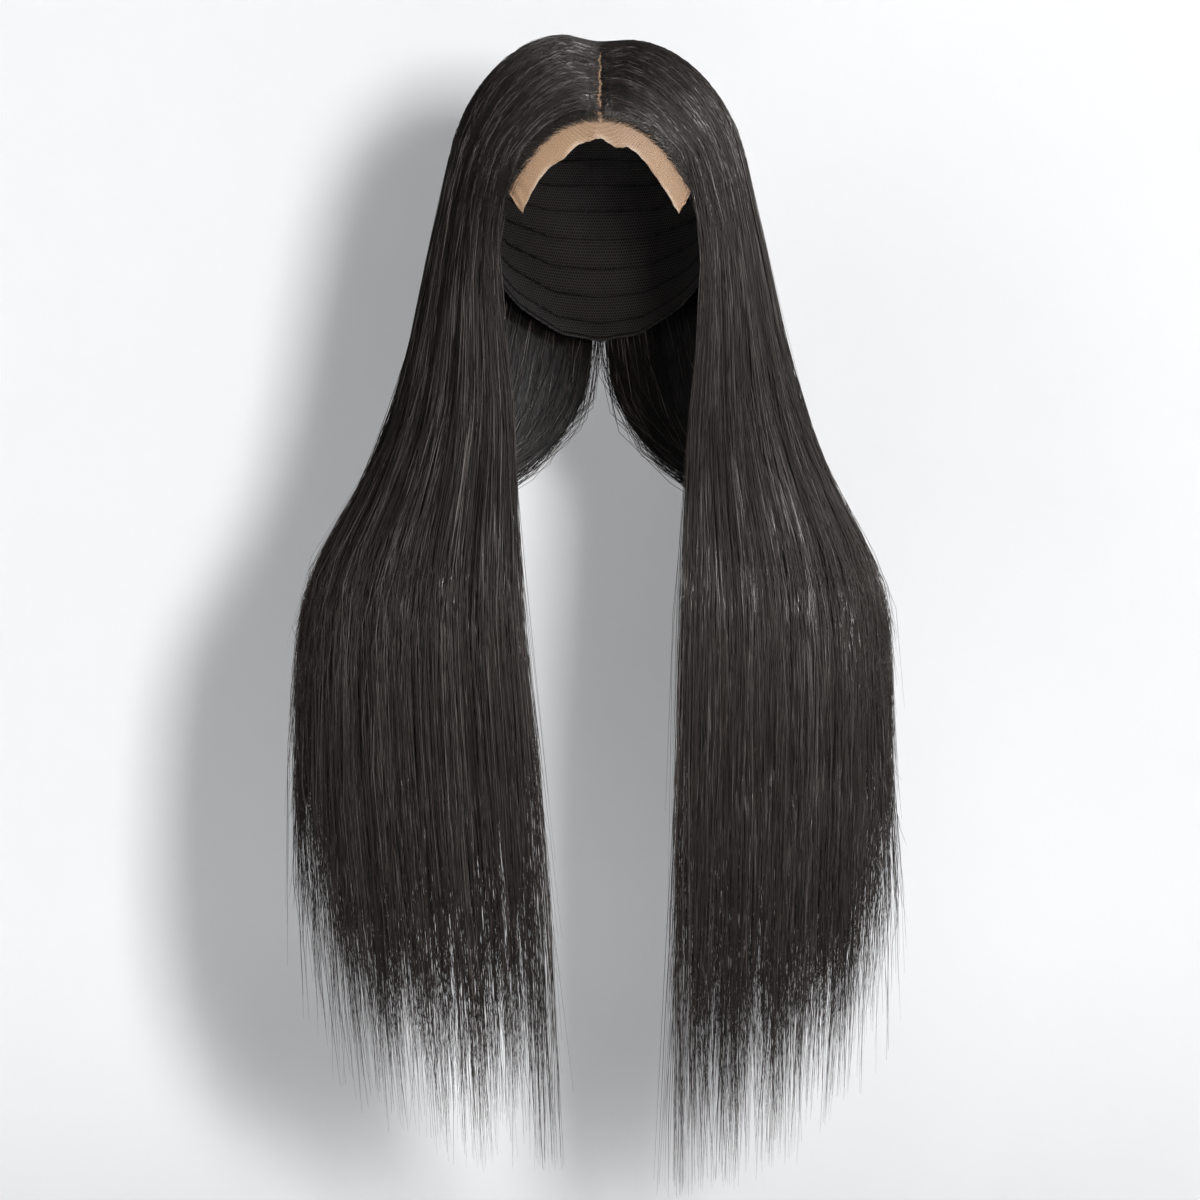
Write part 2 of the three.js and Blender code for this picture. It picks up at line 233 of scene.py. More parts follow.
class HairSheet:
    """One of the four sheets of hair, as a field of places."""

    def __init__(self, kind, side_name):
        self.kind = kind
        self.side_name = side_name
        self.side = -1 if side_name == "left" else 1
        self.name = f"{kind}_hair_{side_name}"
        self.tips = np.array(LOCK_TIPS[f"{kind}_{side_name}"]) * MM
        self.comb()

    def outline(self, turn):
        """The C-shaped outline of each level, as x and y, at a turn from its first edge."""
        front = LEVEL[f"front_{self.side_name}"]
        side = LEVEL[f"side_{self.side_name}"]
        if self.kind == "closure":
            x = front + (side - front) * np.sin(turn)
            y = LEVEL["side_y"] + (LEVEL["front_y"] - LEVEL["side_y"]) * np.cos(turn)
        else:
            x = LEVEL["back_x"] + (side - LEVEL["back_x"]) * np.cos(turn)
            y = LEVEL["weft_y"] + (LEVEL["back_y"] - LEVEL["weft_y"]) * np.sin(turn)
        return x, y

    def roots(self, across):
        """Where each hair starts, along the parting or the seam behind the crown."""
        if self.kind == "closure":
            polar = HAIRLINE_POLAR + (CROWN_POLAR - HAIRLINE_POLAR) * across
            half_gap = np.full(across.shape, PARTING_HALF_WIDTH)
        else:
            polar = CROWN_POLAR - 1 + (WHORL_POLAR - CROWN_POLAR + 1) * across
            half_gap = PARTING_HALF_WIDTH + (BACK_SEAM_HALF_WIDTH - PARTING_HALF_WIDTH) * across
        start = on_head(0, polar, ROOT_LIFT)
        start[:, 0] = self.side * half_gap
        return start

    def lines(self, across):
        """The knots of the outermost hairs, from the roots to the tips."""
        x, y = self.outline(across[:, None] * math.pi / 2)
        tips = np.interp(across * LOCKS, np.arange(LOCKS) + 0.5, self.tips) - LAST_HAIRS
        reach = (tips - LENGTHS_START) / (LONGEST_TIP - LENGTHS_START)
        below = np.minimum(0, LEVEL["z"] - LENGTHS_START)
        z = np.maximum(LEVEL["z"], LENGTHS_START) + below * reach[:, None]
        hanging = np.stack([self.side * x, y, z], axis=-1)
        shares = np.arange(ARC_STEPS) / ARC_STEPS
        start = self.roots(across)[:, None]
        bow = (HAIRLINE_BOW if self.kind == "closure" else 0) * (1 - across[:, None]) ** 2
        over = arc_over_head(start, hanging[:, :1], shares[None, :], RISE[self.side_name], bow)
        return np.concatenate([over, hanging], axis=1)

    def fullness(self, across, joint):
        """The share of the level's thickness: thin beside the face and where two sheets meet."""
        if self.kind == "closure":
            face = 0.3 + 0.7 * ease(across, 0, 0.25)
            return face * (1 + (joint - 1) * ease(across, 0.55, 1))
        return joint + (1 - joint) * ease(across, 0, 0.45)

    def comb(self):
        """Works out the grids of the sheet's outside and inside."""
        across = np.linspace(-PAST_EDGE, 1 + PAST_EDGE, GRID_COLUMNS)
        along = np.linspace(0, 1, GRID_ROWS)
        level_row = along * (KNOTS - 1) - ARC_STEPS
        rows = np.arange(len(LEVEL_ROWS))
        joint = np.interp(level_row, rows, LEVEL["joint"])
        thick = np.interp(level_row, rows, LEVEL["thick"]) * self.fullness(across[:, None], joint)
        within = np.clip(across, 0, 0.9999) * LOCKS % 1
        ridge = np.interp(across * LOCKS, np.arange(LOCKS) + 0.5, np.array(LOCK_RIDGES[self.kind]) * MM)
        shown = ease(along, *RIDGES_SHOW) * np.minimum(1, thick / RIDGES_NEED)
        relief = (ridge * 4 * within * (1 - within))[:, None] * shown
        surface = follow(self.lines(across), along)
        sideways = np.gradient(surface, axis=0)
        downward = np.gradient(surface, axis=1)
        out = self.side * unit(np.cross(downward, sideways))
        self.outer = keep_off(surface + out * relief[..., None], ROOT_LIFT)
        hanging = keep_off(self.outer - out * (thick + relief)[..., None], HAIR_SEAT)
        self.inner = np.where((level_row < 0)[None, :, None], onto_head(self.outer, HAIR_SEAT), hanging)

    def at(self, across, along, depth):
        """Places in the sheet. Depth 0 is its outside and depth 1 its inside."""
        column = np.clip((across + PAST_EDGE) / (1 + 2 * PAST_EDGE), 0, 1) * (GRID_COLUMNS - 1)
        row = np.clip(along, 0, 1) * (GRID_ROWS - 1)
        left = np.minimum(column.astype(int), GRID_COLUMNS - 2)
        top = np.minimum(row.astype(int), GRID_ROWS - 2)
        right_share = (column - left)[..., None]
        low_share = (row - top)[..., None]

        def read(grid):
            upper = grid[left, top] * (1 - right_share) + grid[left + 1, top] * right_share
            lower = grid[left, top + 1] * (1 - right_share) + grid[left + 1, top + 1] * right_share
            return upper * (1 - low_share) + lower * low_share

        depth = np.asarray(depth)[..., None]
        return read(self.outer) * (1 - depth) + read(self.inner) * depth


sheets = [HairSheet(kind, side_name) for kind in ("closure", "weft") for side_name in ("left", "right")]

# %% [markdown]
# ## Finishes
#
# Lace and cap are nets, so a node group draws one hexagonal net and each of them sets its own pitch and
# thread. Hair has no pattern of its own. Instead its mesh keeps three attributes: each hair's tone, its
# lane across the sheet, and how near a point is to the tip, where hair is thinner and is painted browner,
# as light shines through it.

# %% Node helpers and the net group
def add_node(tree, kind, **settings):
    """A new node with these settings."""
    node = tree.nodes.new(kind)
    for name, value in settings.items():
        setattr(node, name, value)
    return node


def feed(tree, node, inputs):
    """Links or sets inputs of a node, by name or number."""
    for which, value in inputs.items():
        if isinstance(value, bpy.types.NodeSocket):
            tree.links.new(value, node.inputs[which])
        else:
            node.inputs[which].default_value = value


def vector_math(tree, operation, *values):
    """A vector sum of sockets and plain vectors."""
    node = add_node(tree, "ShaderNodeVectorMath", operation=operation)
    feed(tree, node, dict(enumerate(values)))
    return node.outputs["Value" if operation in ("DOT_PRODUCT", "LENGTH") else "Vector"]


def plain_math(tree, operation, *values):
    """A sum of sockets and plain numbers."""
    node = add_node(tree, "ShaderNodeMath", operation=operation)
    feed(tree, node, dict(enumerate(values)))
    return node.outputs[0]


def mix_colours(tree, share, first, second):
    """A blend of two colours, each a socket or a plain colour, by a socket."""
    node = add_node(tree, "ShaderNodeMix", data_type="RGBA")
    feed(tree, node, {"Factor": share, 6: first, 7: second})
    return node.outputs[2]


def spread(tree, value, low, high, to_low=0.0, to_high=1.0):
    """Maps a socket's range to another, clamped, with a smooth step."""
    node = add_node(tree, "ShaderNodeMapRange", interpolation_type="SMOOTHSTEP")
    limits = {"From Min": low, "From Max": high, "To Min": to_low, "To Max": to_high}
    feed(tree, node, {"Value": value, **limits})
    return node.outputs["Result"]


def attribute(tree, name):
    """A value that the mesh keeps for each corner."""
    return add_node(tree, "ShaderNodeAttribute", attribute_name=name).outputs["Fac"]


def add_bump(tree, shader, height, distance):
    """Raises the surface by a socket, up to a distance."""
    bump = add_node(tree, "ShaderNodeBump")
    feed(tree, bump, {"Height": height, "Distance": distance})
    feed(tree, shader, {"Normal": bump.outputs["Normal"]})


NET_SOCKETS = (
    ("Place", "INPUT", "Vector"), ("Pitch", "INPUT", "Float"), ("Thread", "INPUT", "Float"),
    ("Threads", "OUTPUT", "Float"), ("From Hole", "OUTPUT", "Float"),
)


def make_net_group():
    """A hexagonal net: Threads is 1 on the threads and 0 in the holes."""
    group = bpy.data.node_groups.new("Hexagonal_net", "ShaderNodeTree")
    for name, way, kind in NET_SOCKETS:
        group.interface.new_socket(name, in_out=way, socket_type=f"NodeSocket{kind}")
    start = add_node(group, "NodeGroupInput")
    end = add_node(group, "NodeGroupOutput")
    cell = (1.0, math.sqrt(3), 1.0)
    half = (0.5, math.sqrt(3) / 2, 0.5)
    pitches = add_node(group, "ShaderNodeCombineXYZ")
    feed(group, pitches, {axis: start.outputs["Pitch"] for axis in "XYZ"})
    place = vector_math(group, "DIVIDE", start.outputs["Place"], pitches.outputs[0])
    flat = vector_math(group, "MULTIPLY", place, (1, 1, 0))

    def from_middle(point):
        in_cell = vector_math(group, "SUBTRACT", vector_math(group, "MODULO", point, cell), half)
        return vector_math(group, "MULTIPLY", in_cell, (1, 1, 0))

    first = from_middle(flat)
    second = from_middle(vector_math(group, "ADD", flat, half))
    lengths = [vector_math(group, "LENGTH", point) for point in (first, second)]
    nearer = plain_math(group, "LESS_THAN", *lengths)
    pick = add_node(group, "ShaderNodeMix", data_type="VECTOR")
    feed(group, pick, {"Factor": nearer, 4: second, 5: first})
    hole = vector_math(group, "ABSOLUTE", pick.outputs[1])
    slant = vector_math(group, "DOT_PRODUCT", hole, (0.5, math.sqrt(3) / 2, 0))
    sides = add_node(group, "ShaderNodeSeparateXYZ")
    feed(group, sides, {0: hole})
    distance = plain_math(group, "MAXIMUM", slant, sides.outputs["X"])
    edge = plain_math(group, "SUBTRACT", 0.5, start.outputs["Thread"])
    threads = plain_math(group, "GREATER_THAN", distance, edge)
    feed(group, end, {"Threads": threads, "From Hole": distance})
    return group


def new_finish(name):
    """A new material, its node tree and its shader."""
    material = bpy.data.materials.new(name)
    material.use_nodes = True
    return material, material.node_tree, material.node_tree.nodes["Principled BSDF"]


net_group = make_net_group()


def add_net(tree, place, pitch, thread):
    """The net on a map in metres: its threads, and how far a place is from its hole."""
    net = add_node(tree, "ShaderNodeGroup", node_tree=net_group)
    feed(tree, net, {"Place": place, "Pitch": pitch, "Thread": thread})
    return net.outputs["Threads"], net.outputs["From Hole"]


print("net group:", len(net_group.nodes), "nodes")

# %% [markdown]
# Hair reflects like a thin glossy rod, and the strands are real rods, so a plain shader gives the broad
# sheen. Combed hair also glints in streaks, because neighbours lie alike. A noise that is fine across the
# lanes and long down the hair makes them, and a broad noise lets them show in some locks more than in
# others. A streak is smoother and has a coat, and its glint is also painted in as a lighter colour. The
# tone picks between black and deep brown.

# %% The hair finish
def stretched_noise(tree, place, pitch, detail):
    """Noise with its own pitch along each axis, so that it makes streaks."""
    noise = add_node(tree, "ShaderNodeTexNoise")
    stretched = vector_math(tree, "MULTIPLY", place, pitch)
    feed(tree, noise, {"Vector": stretched, "Scale": 1.0, "Detail": detail})
    return noise.outputs["Fac"]


HAIR_BLACK = (0.0020, 0.0018, 0.0018, 1)
HAIR_BROWN = (0.014, 0.0098, 0.0084, 1)
# The light colour is both the tone of the lightest hairs and a painted highlight, the glint of the streaks.
LIGHT_TONE_AND_PAINTED_GLINT = (0.135, 0.116, 0.106, 1)
HAIR_SHEEN = (1.0, 0.92, 0.87, 1)
# Thin tips are painted browner, standing in for light that shines through them.
PAINTED_BACKLIT_TIP = (0.04, 0.029, 0.025, 1)
STREAK_PITCH = (230, 13, 1)
LOCK_PITCH = (15, 3, 1)
PAINTED_GLINT_SHARE = 0.9


def make_hair_finish():
    """Natural black hair that glints in streaks, with the glint partly painted into its colour."""
    material, tree, shader = new_finish("Natural_black_hair")
    tone = attribute(tree, "tone")
    tipward = attribute(tree, "tipward")
    place = add_node(tree, "ShaderNodeCombineXYZ")
    feed(tree, place, {"X": attribute(tree, "lane"), "Y": tipward})
    streak = spread(tree, stretched_noise(tree, place.outputs[0], STREAK_PITCH, 1.0), 0.5, 0.72)
    lock = spread(tree, stretched_noise(tree, place.outputs[0], LOCK_PITCH, 0.0), 0.35, 0.6, 0.1, 1.0)
    shine = plain_math(tree, "MULTIPLY", streak, lock)
    base = mix_colours(tree, spread(tree, tone, 0.15, 0.8), HAIR_BLACK, HAIR_BROWN)
    # Painted backlight: near the tip the colour turns browner, as light shines through thin hair.
    tips = mix_colours(tree, spread(tree, tipward, 0.8, 1.0, 0.0, 0.6), base, PAINTED_BACKLIT_TIP)
    # Painted highlight: where a streak glints, the base colour is mixed towards the light colour.
    painted_glint = plain_math(tree, "MULTIPLY", shine, PAINTED_GLINT_SHARE)
    light = plain_math(tree, "MAXIMUM", spread(tree, tone, 0.6, 1.0), painted_glint)
    feed(tree, shader, {
        "Base Color": mix_colours(tree, light, tips, LIGHT_TONE_AND_PAINTED_GLINT),
        "Roughness": spread(tree, shine, 0.0, 0.8, 0.55, 0.3),
        "Coat Weight": spread(tree, shine, 0.0, 0.7),
        "Coat Roughness": 0.25,
        "Specular IOR Level": 0.3,
        "Specular Tint": HAIR_SHEEN,
    })
    return material


hair_finish = make_hair_finish()
print("finish:", hair_finish.name)

# %% [markdown]
# The mass under the loose strands is seen only in small gaps. It gets long streaks from a noise that is
# stretched along the hair, so that a gap never shows a smooth dark wall.

# %% The finish of the hair's inner mass
MASS_STREAK_PITCH = (1400, 1400, 18)
MASS_RELIEF = 0.4 * MM


def make_mass_finish():
    """Packed hair: streaks of black and brown that run down."""
    material, tree, shader = new_finish("Packed_hair")
    place = add_node(tree, "ShaderNodeTexCoord").outputs["Object"]
    streak = stretched_noise(tree, place, MASS_STREAK_PITCH, 3.0)
    feed(tree, shader, {
        "Base Color": mix_colours(tree, spread(tree, streak, 0.4, 0.8), HAIR_BLACK, HAIR_BROWN),
        "Roughness": spread(tree, streak, 0.3, 0.8, 0.7, 0.5),
        "Specular IOR Level": 0.25,
    })
    add_bump(tree, shader, streak, MASS_RELIEF)
    return material


mass_finish = make_mass_finish()
print("finish:", mass_finish.name)

# %% [markdown]
# ## The lace closure
#
# The closure is a patch of sheer beige net, cut by hand in front of the hairline. It could be a plain
# dome, but the cut edge waves and lifts a little, and at each temple the lace runs out to a point that
# creases. A grid is bent onto the head form, its front edge is moved by a few sine waves, and solidify
# gives the net its thread's thickness.

# %% Bend grids into walls
def put_in_scene(name, mesh):
    """A new object at the origin with this mesh."""
    piece = bpy.data.objects.new(name, mesh)
    bpy.context.scene.collection.objects.link(piece)
    return piece


def bent_grid(columns, rows, place):
    """A bmesh grid whose corners go where place(across, along) puts them."""
    grid = bmesh.new()
    bmesh.ops.create_grid(grid, x_segments=columns, y_segments=rows, size=0.5)
    flat = np.array([corner.co[:2] for corner in grid.verts]) + 0.5
    points = place(flat[:, 0], flat[:, 1])
    for corner, point in zip(grid.verts, points):
        corner.co = point
    return grid, flat


def face_away(grid, centre):
    """Turns the faces of an open sheet so that they look away from a point."""
    bmesh.ops.recalc_face_normals(grid, faces=grid.faces)
    looks = sum(face.normal.dot(face.calc_center_median() - Vector(centre)) for face in grid.faces)
    if looks < 0:
        bmesh.ops.reverse_faces(grid, faces=grid.faces)


def lay_flat(points, middle):
    """Lays points of the head flat round a middle direction, so that a net on them keeps its pitch."""
    way = unit(to_ball(points, 0))
    right = unit(np.cross(middle, (0, 0.3, 1)))
    up = np.cross(right, unit(np.array(middle)))
    angle = np.arccos(np.clip(way @ unit(np.array(middle)), -1, 1))
    sideways = np.stack([way @ right, way @ up], axis=-1)
    flat = unit(sideways) * (angle * HEAD_MEAN_RADIUS)[:, None]
    return flat - flat.min(axis=0)


def map_net(grid, flat_points):
    """Gives the grid a UV map in metres, for the net."""
    net = grid.loops.layers.uv.new("net")
    grid.verts.index_update()
    for face in grid.faces:
        for loop in face.loops:
            loop[net].uv = flat_points[loop.vert.index]


def mark(grid, name, values):
    """Keeps one value for each corner, for a material to read."""
    layer = grid.verts.layers.float.new(name)
    for corner, value in zip(grid.verts, values):
        corner[layer] = value


def make_net_sheet(columns, rows, place, middle):
    """A sheet of net bent over the head: its bmesh, its flat corners, its cut size and its area."""
    grid, flat = bent_grid(columns, rows, place)
    cut = lay_flat(np.array([corner.co for corner in grid.verts]), middle)
    map_net(grid, cut)
    face_away(grid, HEAD_CENTRE)
    area = sum(face.calc_area() for face in grid.faces)
    return grid, flat, np.ptp(cut, axis=0), area


def to_piece(grid, name, finish):
    """Turns a bmesh into a smooth-shaded object with a finish."""
    mesh = bpy.data.meshes.new(name)
    grid.to_mesh(mesh)
    grid.free()
    mesh.shade_smooth()
    mesh.materials.append(finish)
    return put_in_scene(name, mesh)


def thicken(piece, thickness):
    """Gives a sheet its thickness, inwards from where it is."""
    wall = piece.modifiers.new("thickness", "SOLIDIFY")
    wall.thickness = thickness
    wall.offset = -1


def stand_for(piece, node):
    """Hangs the piece on the root body and hides the solid that it stands for."""
    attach(piece, "root")
    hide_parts(node)


LACE_COLUMN_NAMES = ("share", "front_azimuth", "front_polar", "back_azimuth", "back_polar")
LACE_OUTLINE = [
    (0.0, 0, 70, 180, 22),
    (0.3, 12, 72.5, 148, 27.5),
    (0.5, 21, 78.5, 124, 36.5),
    (0.7, 31, 88, 100, 47.5),
    (0.8, 36.5, 94.5, 84, 55),
    (0.9, 44, 88, 68, 66),
    (1.0, 51, 82, 60, 73),
]
LACE = dict(zip(LACE_COLUMN_NAMES, np.array(LACE_OUTLINE).T))
CUT_WAVES = ((0.9, 23, 0.6), (0.5, 41, 2.1), (0.16, 131, 0))
TAB_PLACE = 0.8
TAB_WIDTH = 0.09
TAB_LIFT = 0.7 * MM
EDGE_LIFT = 0.5 * MM
LACE_LIFT = 0.7 * MM
LACE_THREAD = 0.25 * MM
LACE_COLUMNS = 150
LACE_ROWS = 42
LACE_MIDDLE = (0.0, -0.35, 1.0)
CUT_EDGE = 0.006
KNOTS_BEGIN = (0.07, 0.16)


def lace_column(share, name):
    """A column of the lace's outline at shares from the middle of the forehead to the temple seam."""
    return np.interp(share, LACE["share"], LACE[name])


def lace_place(across, along):
    """Points of the lace, with a wavy cut edge and creased tips."""
    side = np.where(across < 0.5, -1, 1)
    share = np.abs(2 * across - 1)
    wavy = waves(across, CUT_WAVES) * (1 - ease(share, 0.7, TAB_PLACE))
    front_polar = lace_column(share, "front_polar") + wavy - 0.6
    front = on_head(side * lace_column(share, "front_azimuth"), front_polar, 0)
    back = on_head(side * lace_column(share, "back_azimuth"), lace_column(share, "back_polar"), 0)
    edge = np.exp(-along / 0.05) * (1 + np.sin(43 * across + 1))
    tab = np.exp(-(((share - TAB_PLACE) / TAB_WIDTH) ** 2)) * (1 - ease(along, 0.02, 0.3))
    crease = 1 + np.sin(95 * (share - TAB_PLACE) + 2.2 * side + 6 * along)
    lift = LACE_LIFT + EDGE_LIFT * edge + TAB_LIFT * tab * crease
    return onto_head(arc_over_head(front, back, along), lift)


lace_grid, flat, lace_cut, lace_area = make_net_sheet(LACE_COLUMNS, LACE_ROWS, lace_place, LACE_MIDDLE)
# The cut edge gets a painted highlight that comes and goes along it, and its holes close a little there.
edge_highlight_and_fray = 0.28 + 0.25 * np.sin(37 * flat[:, 0] + 1)
mark(lace_grid, "cut_edge", np.exp(-flat[:, 1] / CUT_EDGE) * edge_highlight_and_fray)
mark(lace_grid, "knots", ease(flat[:, 1], *KNOTS_BEGIN))
print("lace cut in mm:", (lace_cut * 1000).round().tolist(), "area in square cm:", round(lace_area * 1e4))

# %% [markdown]
# The net is drawn by the group, on the map that lays the lace flat, and its holes are cut out by alpha.
# Threads at the cut edge catch the light and look white. Behind the hairline each hair is tied round a
# thread, which shows as a small dark knot.

# %% The lace finish
LACE_BEIGE = (0.64, 0.41, 0.25, 1)
LACE_CUT_HIGHLIGHT = (0.80, 0.70, 0.60, 1)
KNOT_BROWN = (0.05, 0.03, 0.02, 1)
LACE_PITCH = 0.9 * MM
KNOT_PITCH = 1.5 * MM


def make_lace_finish():
    """Sheer beige net with a painted highlight and denser threads at its cut edge, and dark knots."""
    material, tree, shader = new_finish("Sheer_beige_lace")
    place = add_node(tree, "ShaderNodeUVMap", uv_map="net").outputs["UV"]
    threads, from_hole = add_net(tree, place, LACE_PITCH, 0.1)
    cut_edge = attribute(tree, "cut_edge")
    knots = add_node(tree, "ShaderNodeTexVoronoi", voronoi_dimensions="2D")
    feed(tree, knots, {"Vector": place, "Scale": 1 / KNOT_PITCH})
    dot = spread(tree, knots.outputs["Distance"], 0.3, 0.18)
    knot = plain_math(tree, "MULTIPLY", dot, attribute(tree, "knots"))
    # Painted highlight: at the cut edge the colour is mixed towards near-white.
    colour = mix_colours(tree, cut_edge, LACE_BEIGE, LACE_CUT_HIGHLIGHT)
    frayed = plain_math(tree, "MULTIPLY", cut_edge, 0.7)
    feed(tree, shader, {
        "Base Color": mix_colours(tree, knot, colour, KNOT_BROWN),
        "Alpha": plain_math(tree, "MAXIMUM", threads, frayed),
        "Roughness": spread(tree, from_hole, 0.3, 0.5, 0.9, 0.65),
    })
    return material


lace = to_piece(lace_grid, "lace_net", make_lace_finish())
thicken(lace, LACE_THREAD)
stand_for(lace, "lace_closure")
print("lace faces:", len(lace.data.polygons))

# %% [markdown]
# ## The wefted cap
#
# Behind the lace is a dark stretch net. It is seen only from inside, through the face opening: a net with
# rows of wefts sewn on, each a narrow raised line with zigzag stitches, and a hem along the rim. The cap
# is bent like the lace. Wefts and stitches are long thin strands, made by the same function as the hair.

# %% Build the cap
CAP_RIM = [(60, 94), (76, 105), (84, 97), (100, 96), (116, 108), (132, 119), (156, 129), (180, 132)]
RIM = dict(zip(("azimuth", "polar"), np.array(CAP_RIM).T))
CAP_START = 60
CAP_WALL = 1.2 * MM
CAP_COLUMNS = 96
CAP_ROWS = 32
CAP_MIDDLE = (0.0, 1.0, -0.15)
SEAM_GAP_DEG = 0.4


def cap_angles(across, along):
    """Azimuth and polar angle of places on the cap, from its seam with the lace to its rim."""
    azimuth = CAP_START + (360 - 2 * CAP_START) * across
    from_front = np.minimum(azimuth, 360 - azimuth)
    top = np.interp(from_front, LACE["back_azimuth"][::-1], LACE["back_polar"][::-1]) + SEAM_GAP_DEG
    rim = np.interp(from_front, RIM["azimuth"], RIM["polar"])
    return azimuth, top + (rim - top) * along


def cap_place(across, along, lift=CAP_WALL):
    """Points on the cap at a lift off the head."""
    azimuth, polar = cap_angles(across, along)
    return on_head(azimuth, polar, lift)


cap_grid, _, cap_cut, cap_area = make_net_sheet(CAP_COLUMNS, CAP_ROWS, cap_place, CAP_MIDDLE)
print("cap cut in mm:", (cap_cut * 1000).round().tolist(), "area in square cm:", round(cap_area * 1e4))

# %% [markdown]
# The cap's net is coarser than the lace and has dark hair behind it, so no holes are cut out of it. They
# are only darker, and a bump raises the threads between them.

# %% The cap finish
CAP_THREAD = (0.032, 0.028, 0.027, 1)
CAP_HOLE = (0.006, 0.0055, 0.0055, 1)
CAP_PITCH = 1.8 * MM
CAP_RELIEF = 0.3 * MM
CAP_NET_WALL = CAP_WALL - 0.5 * MM


def make_cap_finish():
    """Dark stretch net: raised matte threads over darker holes."""
    material, tree, shader = new_finish("Dark_stretch_net")
    place = add_node(tree, "ShaderNodeUVMap", uv_map="net").outputs["UV"]
    threads, from_hole = add_net(tree, place, CAP_PITCH, 0.14)
    feed(tree, shader, {
        "Base Color": mix_colours(tree, threads, CAP_HOLE, CAP_THREAD),
        "Roughness": spread(tree, from_hole, 0.2, 0.5, 0.95, 0.6),
    })
    add_bump(tree, shader, spread(tree, from_hole, 0.25, 0.45), CAP_RELIEF)
    return material


cap = to_piece(cap_grid, "cap_net", make_cap_finish())
thicken(cap, CAP_NET_WALL)
stand_for(cap, "wefted_cap")
print("cap faces:", len(cap.data.polygons))

# %% [markdown]
# ## Strands
#
# A strand is a closed rod with three sides that tapers to its tip. One hair has about forty faces, so
# thousands of them fit in one mesh. Arrays hold all the strands at once: a path is a row of points, a
# ring of three corners goes round each point, and the faces are the same pattern of corner numbers over
# and over.

# %% Rods along paths
RING = 3


def rod_corners(paths, radii):
    """Rings of corners round the points of each path."""
    way = unit(np.gradient(paths, axis=1))
    aside = unit(np.cross(way, np.array([0.31, 0.87, 0.38])))
    over = np.cross(way, aside)
    turn = np.arange(RING) * 2 * math.pi / RING
    ring = aside[:, :, None] * np.cos(turn)[:, None] + over[:, :, None] * np.sin(turn)[:, None]
    return paths[:, :, None] + radii[:, :, None, None] * ring


def rod_faces(count, points):
    """Corner numbers of the rods' sides, and of the small faces that close their ends."""
    first = np.arange(count)[:, None, None] * points * RING
    step = np.arange(points - 1)[None, :, None] * RING
    corner = np.arange(RING)[None, None, :]
    following = (corner + 1) % RING
    start = first + step
    end = start + RING
    sides = np.stack([start + corner, start + following, end + following, end + corner], axis=-1)
    root = first[:, 0] + np.arange(RING)[::-1]
    tip = first[:, 0] + (points - 1) * RING + np.arange(RING)
    return sides.reshape(-1, 4), np.concatenate([root, tip])


def add_rods(name, finish, paths, radii, tone, lane):
    """One piece of rods, with each rod's tone and lane and how near each corner is to the tip."""
    count, points = paths.shape[:2]
    corners = rod_corners(paths, radii).reshape(-1, 3)
    sides, ends = rod_faces(count, points)
    mesh = bpy.data.meshes.new(name)
    mesh.vertices.add(len(corners))
    mesh.vertices.foreach_set("co", corners.ravel())
    mesh.loops.add(sides.size + ends.size)
    mesh.loops.foreach_set("vertex_index", np.concatenate([sides.ravel(), ends.ravel()]).astype(np.int32))
    mesh.polygons.add(len(sides) + len(ends))
    starts = np.concatenate([np.arange(len(sides)) * 4, sides.size + np.arange(len(ends)) * RING])
    mesh.polygons.foreach_set("loop_start", starts.astype(np.int32))
    mesh.update(calc_edges=True)
    mesh.shade_smooth()
    marks = {
        "tone": np.repeat(tone, points * RING),
        "lane": np.repeat(lane, points * RING),
        "tipward": np.tile(np.repeat(np.linspace(0, 1, points), RING), count),
    }
    for kept, values in marks.items():
        layer = mesh.attributes.new(kept, "FLOAT", "POINT")
        layer.data.foreach_set("value", values.astype(np.float32))
    mesh.materials.append(finish)
    return put_in_scene(name, mesh)


def triangles(piece):
    """How many triangles a piece has."""
    return sum(len(face.vertices) - 2 for face in piece.data.polygons)


# %% [markdown]
# Wefts lie flat against the cap's inside in even rows. The same rows with every second point moved up and
# the others down are the zigzag stitches, and one more rod along the rim is the hem.

# %% Sew the wefts and the hem
WEFT_ROWS = 11
WEFT_POINTS = 120
WEFT_RADIUS = 0.75 * MM
WEFT_LIFT = 0.45 * MM
STITCH_POINTS = 180
STITCH_RADIUS = 0.16 * MM
STITCH_LIFT = 0.30 * MM
STITCH_REACH = 0.011
HEM_POINTS = 160
HEM_RADIUS = 1.3 * MM
HEM_LIFT = 0.6 * MM
HEM_ALONG = 0.99


def cap_rows(points, zigzag, lift):
    """Paths across the cap, one for each weft, straight or in zigzag."""
    across = np.linspace(0.012, 0.988, points)[None, :]
    along = (np.arange(WEFT_ROWS)[:, None] + 0.6) / (WEFT_ROWS + 0.35)
    swing = zigzag * (np.arange(points) % 2 * 2 - 1)[None, :]
    across, along = np.broadcast_arrays(across, along + swing)
    return cap_place(across, along, lift)


def add_cap_rows(name, paths, radius):
    """Rows sewn to the cap, as dark rods."""
    none = np.zeros(len(paths))
    piece = add_rods(name, mass_finish, paths, np.full(paths.shape[:2], radius), none, none)
    stand_for(piece, "wefted_cap")
    return piece


wefts = add_cap_rows("weft_bindings", cap_rows(WEFT_POINTS, 0.0, WEFT_LIFT), WEFT_RADIUS)
stitch_paths = cap_rows(STITCH_POINTS, STITCH_REACH, STITCH_LIFT)
stitches = add_cap_rows("weft_stitches", stitch_paths, STITCH_RADIUS)
rim = np.linspace(0, 1, HEM_POINTS)[None, :]
hem = add_cap_rows("cap_hem", cap_place(rim, np.full_like(rim, HEM_ALONG), HEM_LIFT), HEM_RADIUS)
print("weft rows:", WEFT_ROWS, "triangles:", triangles(wefts) + triangles(stitches))

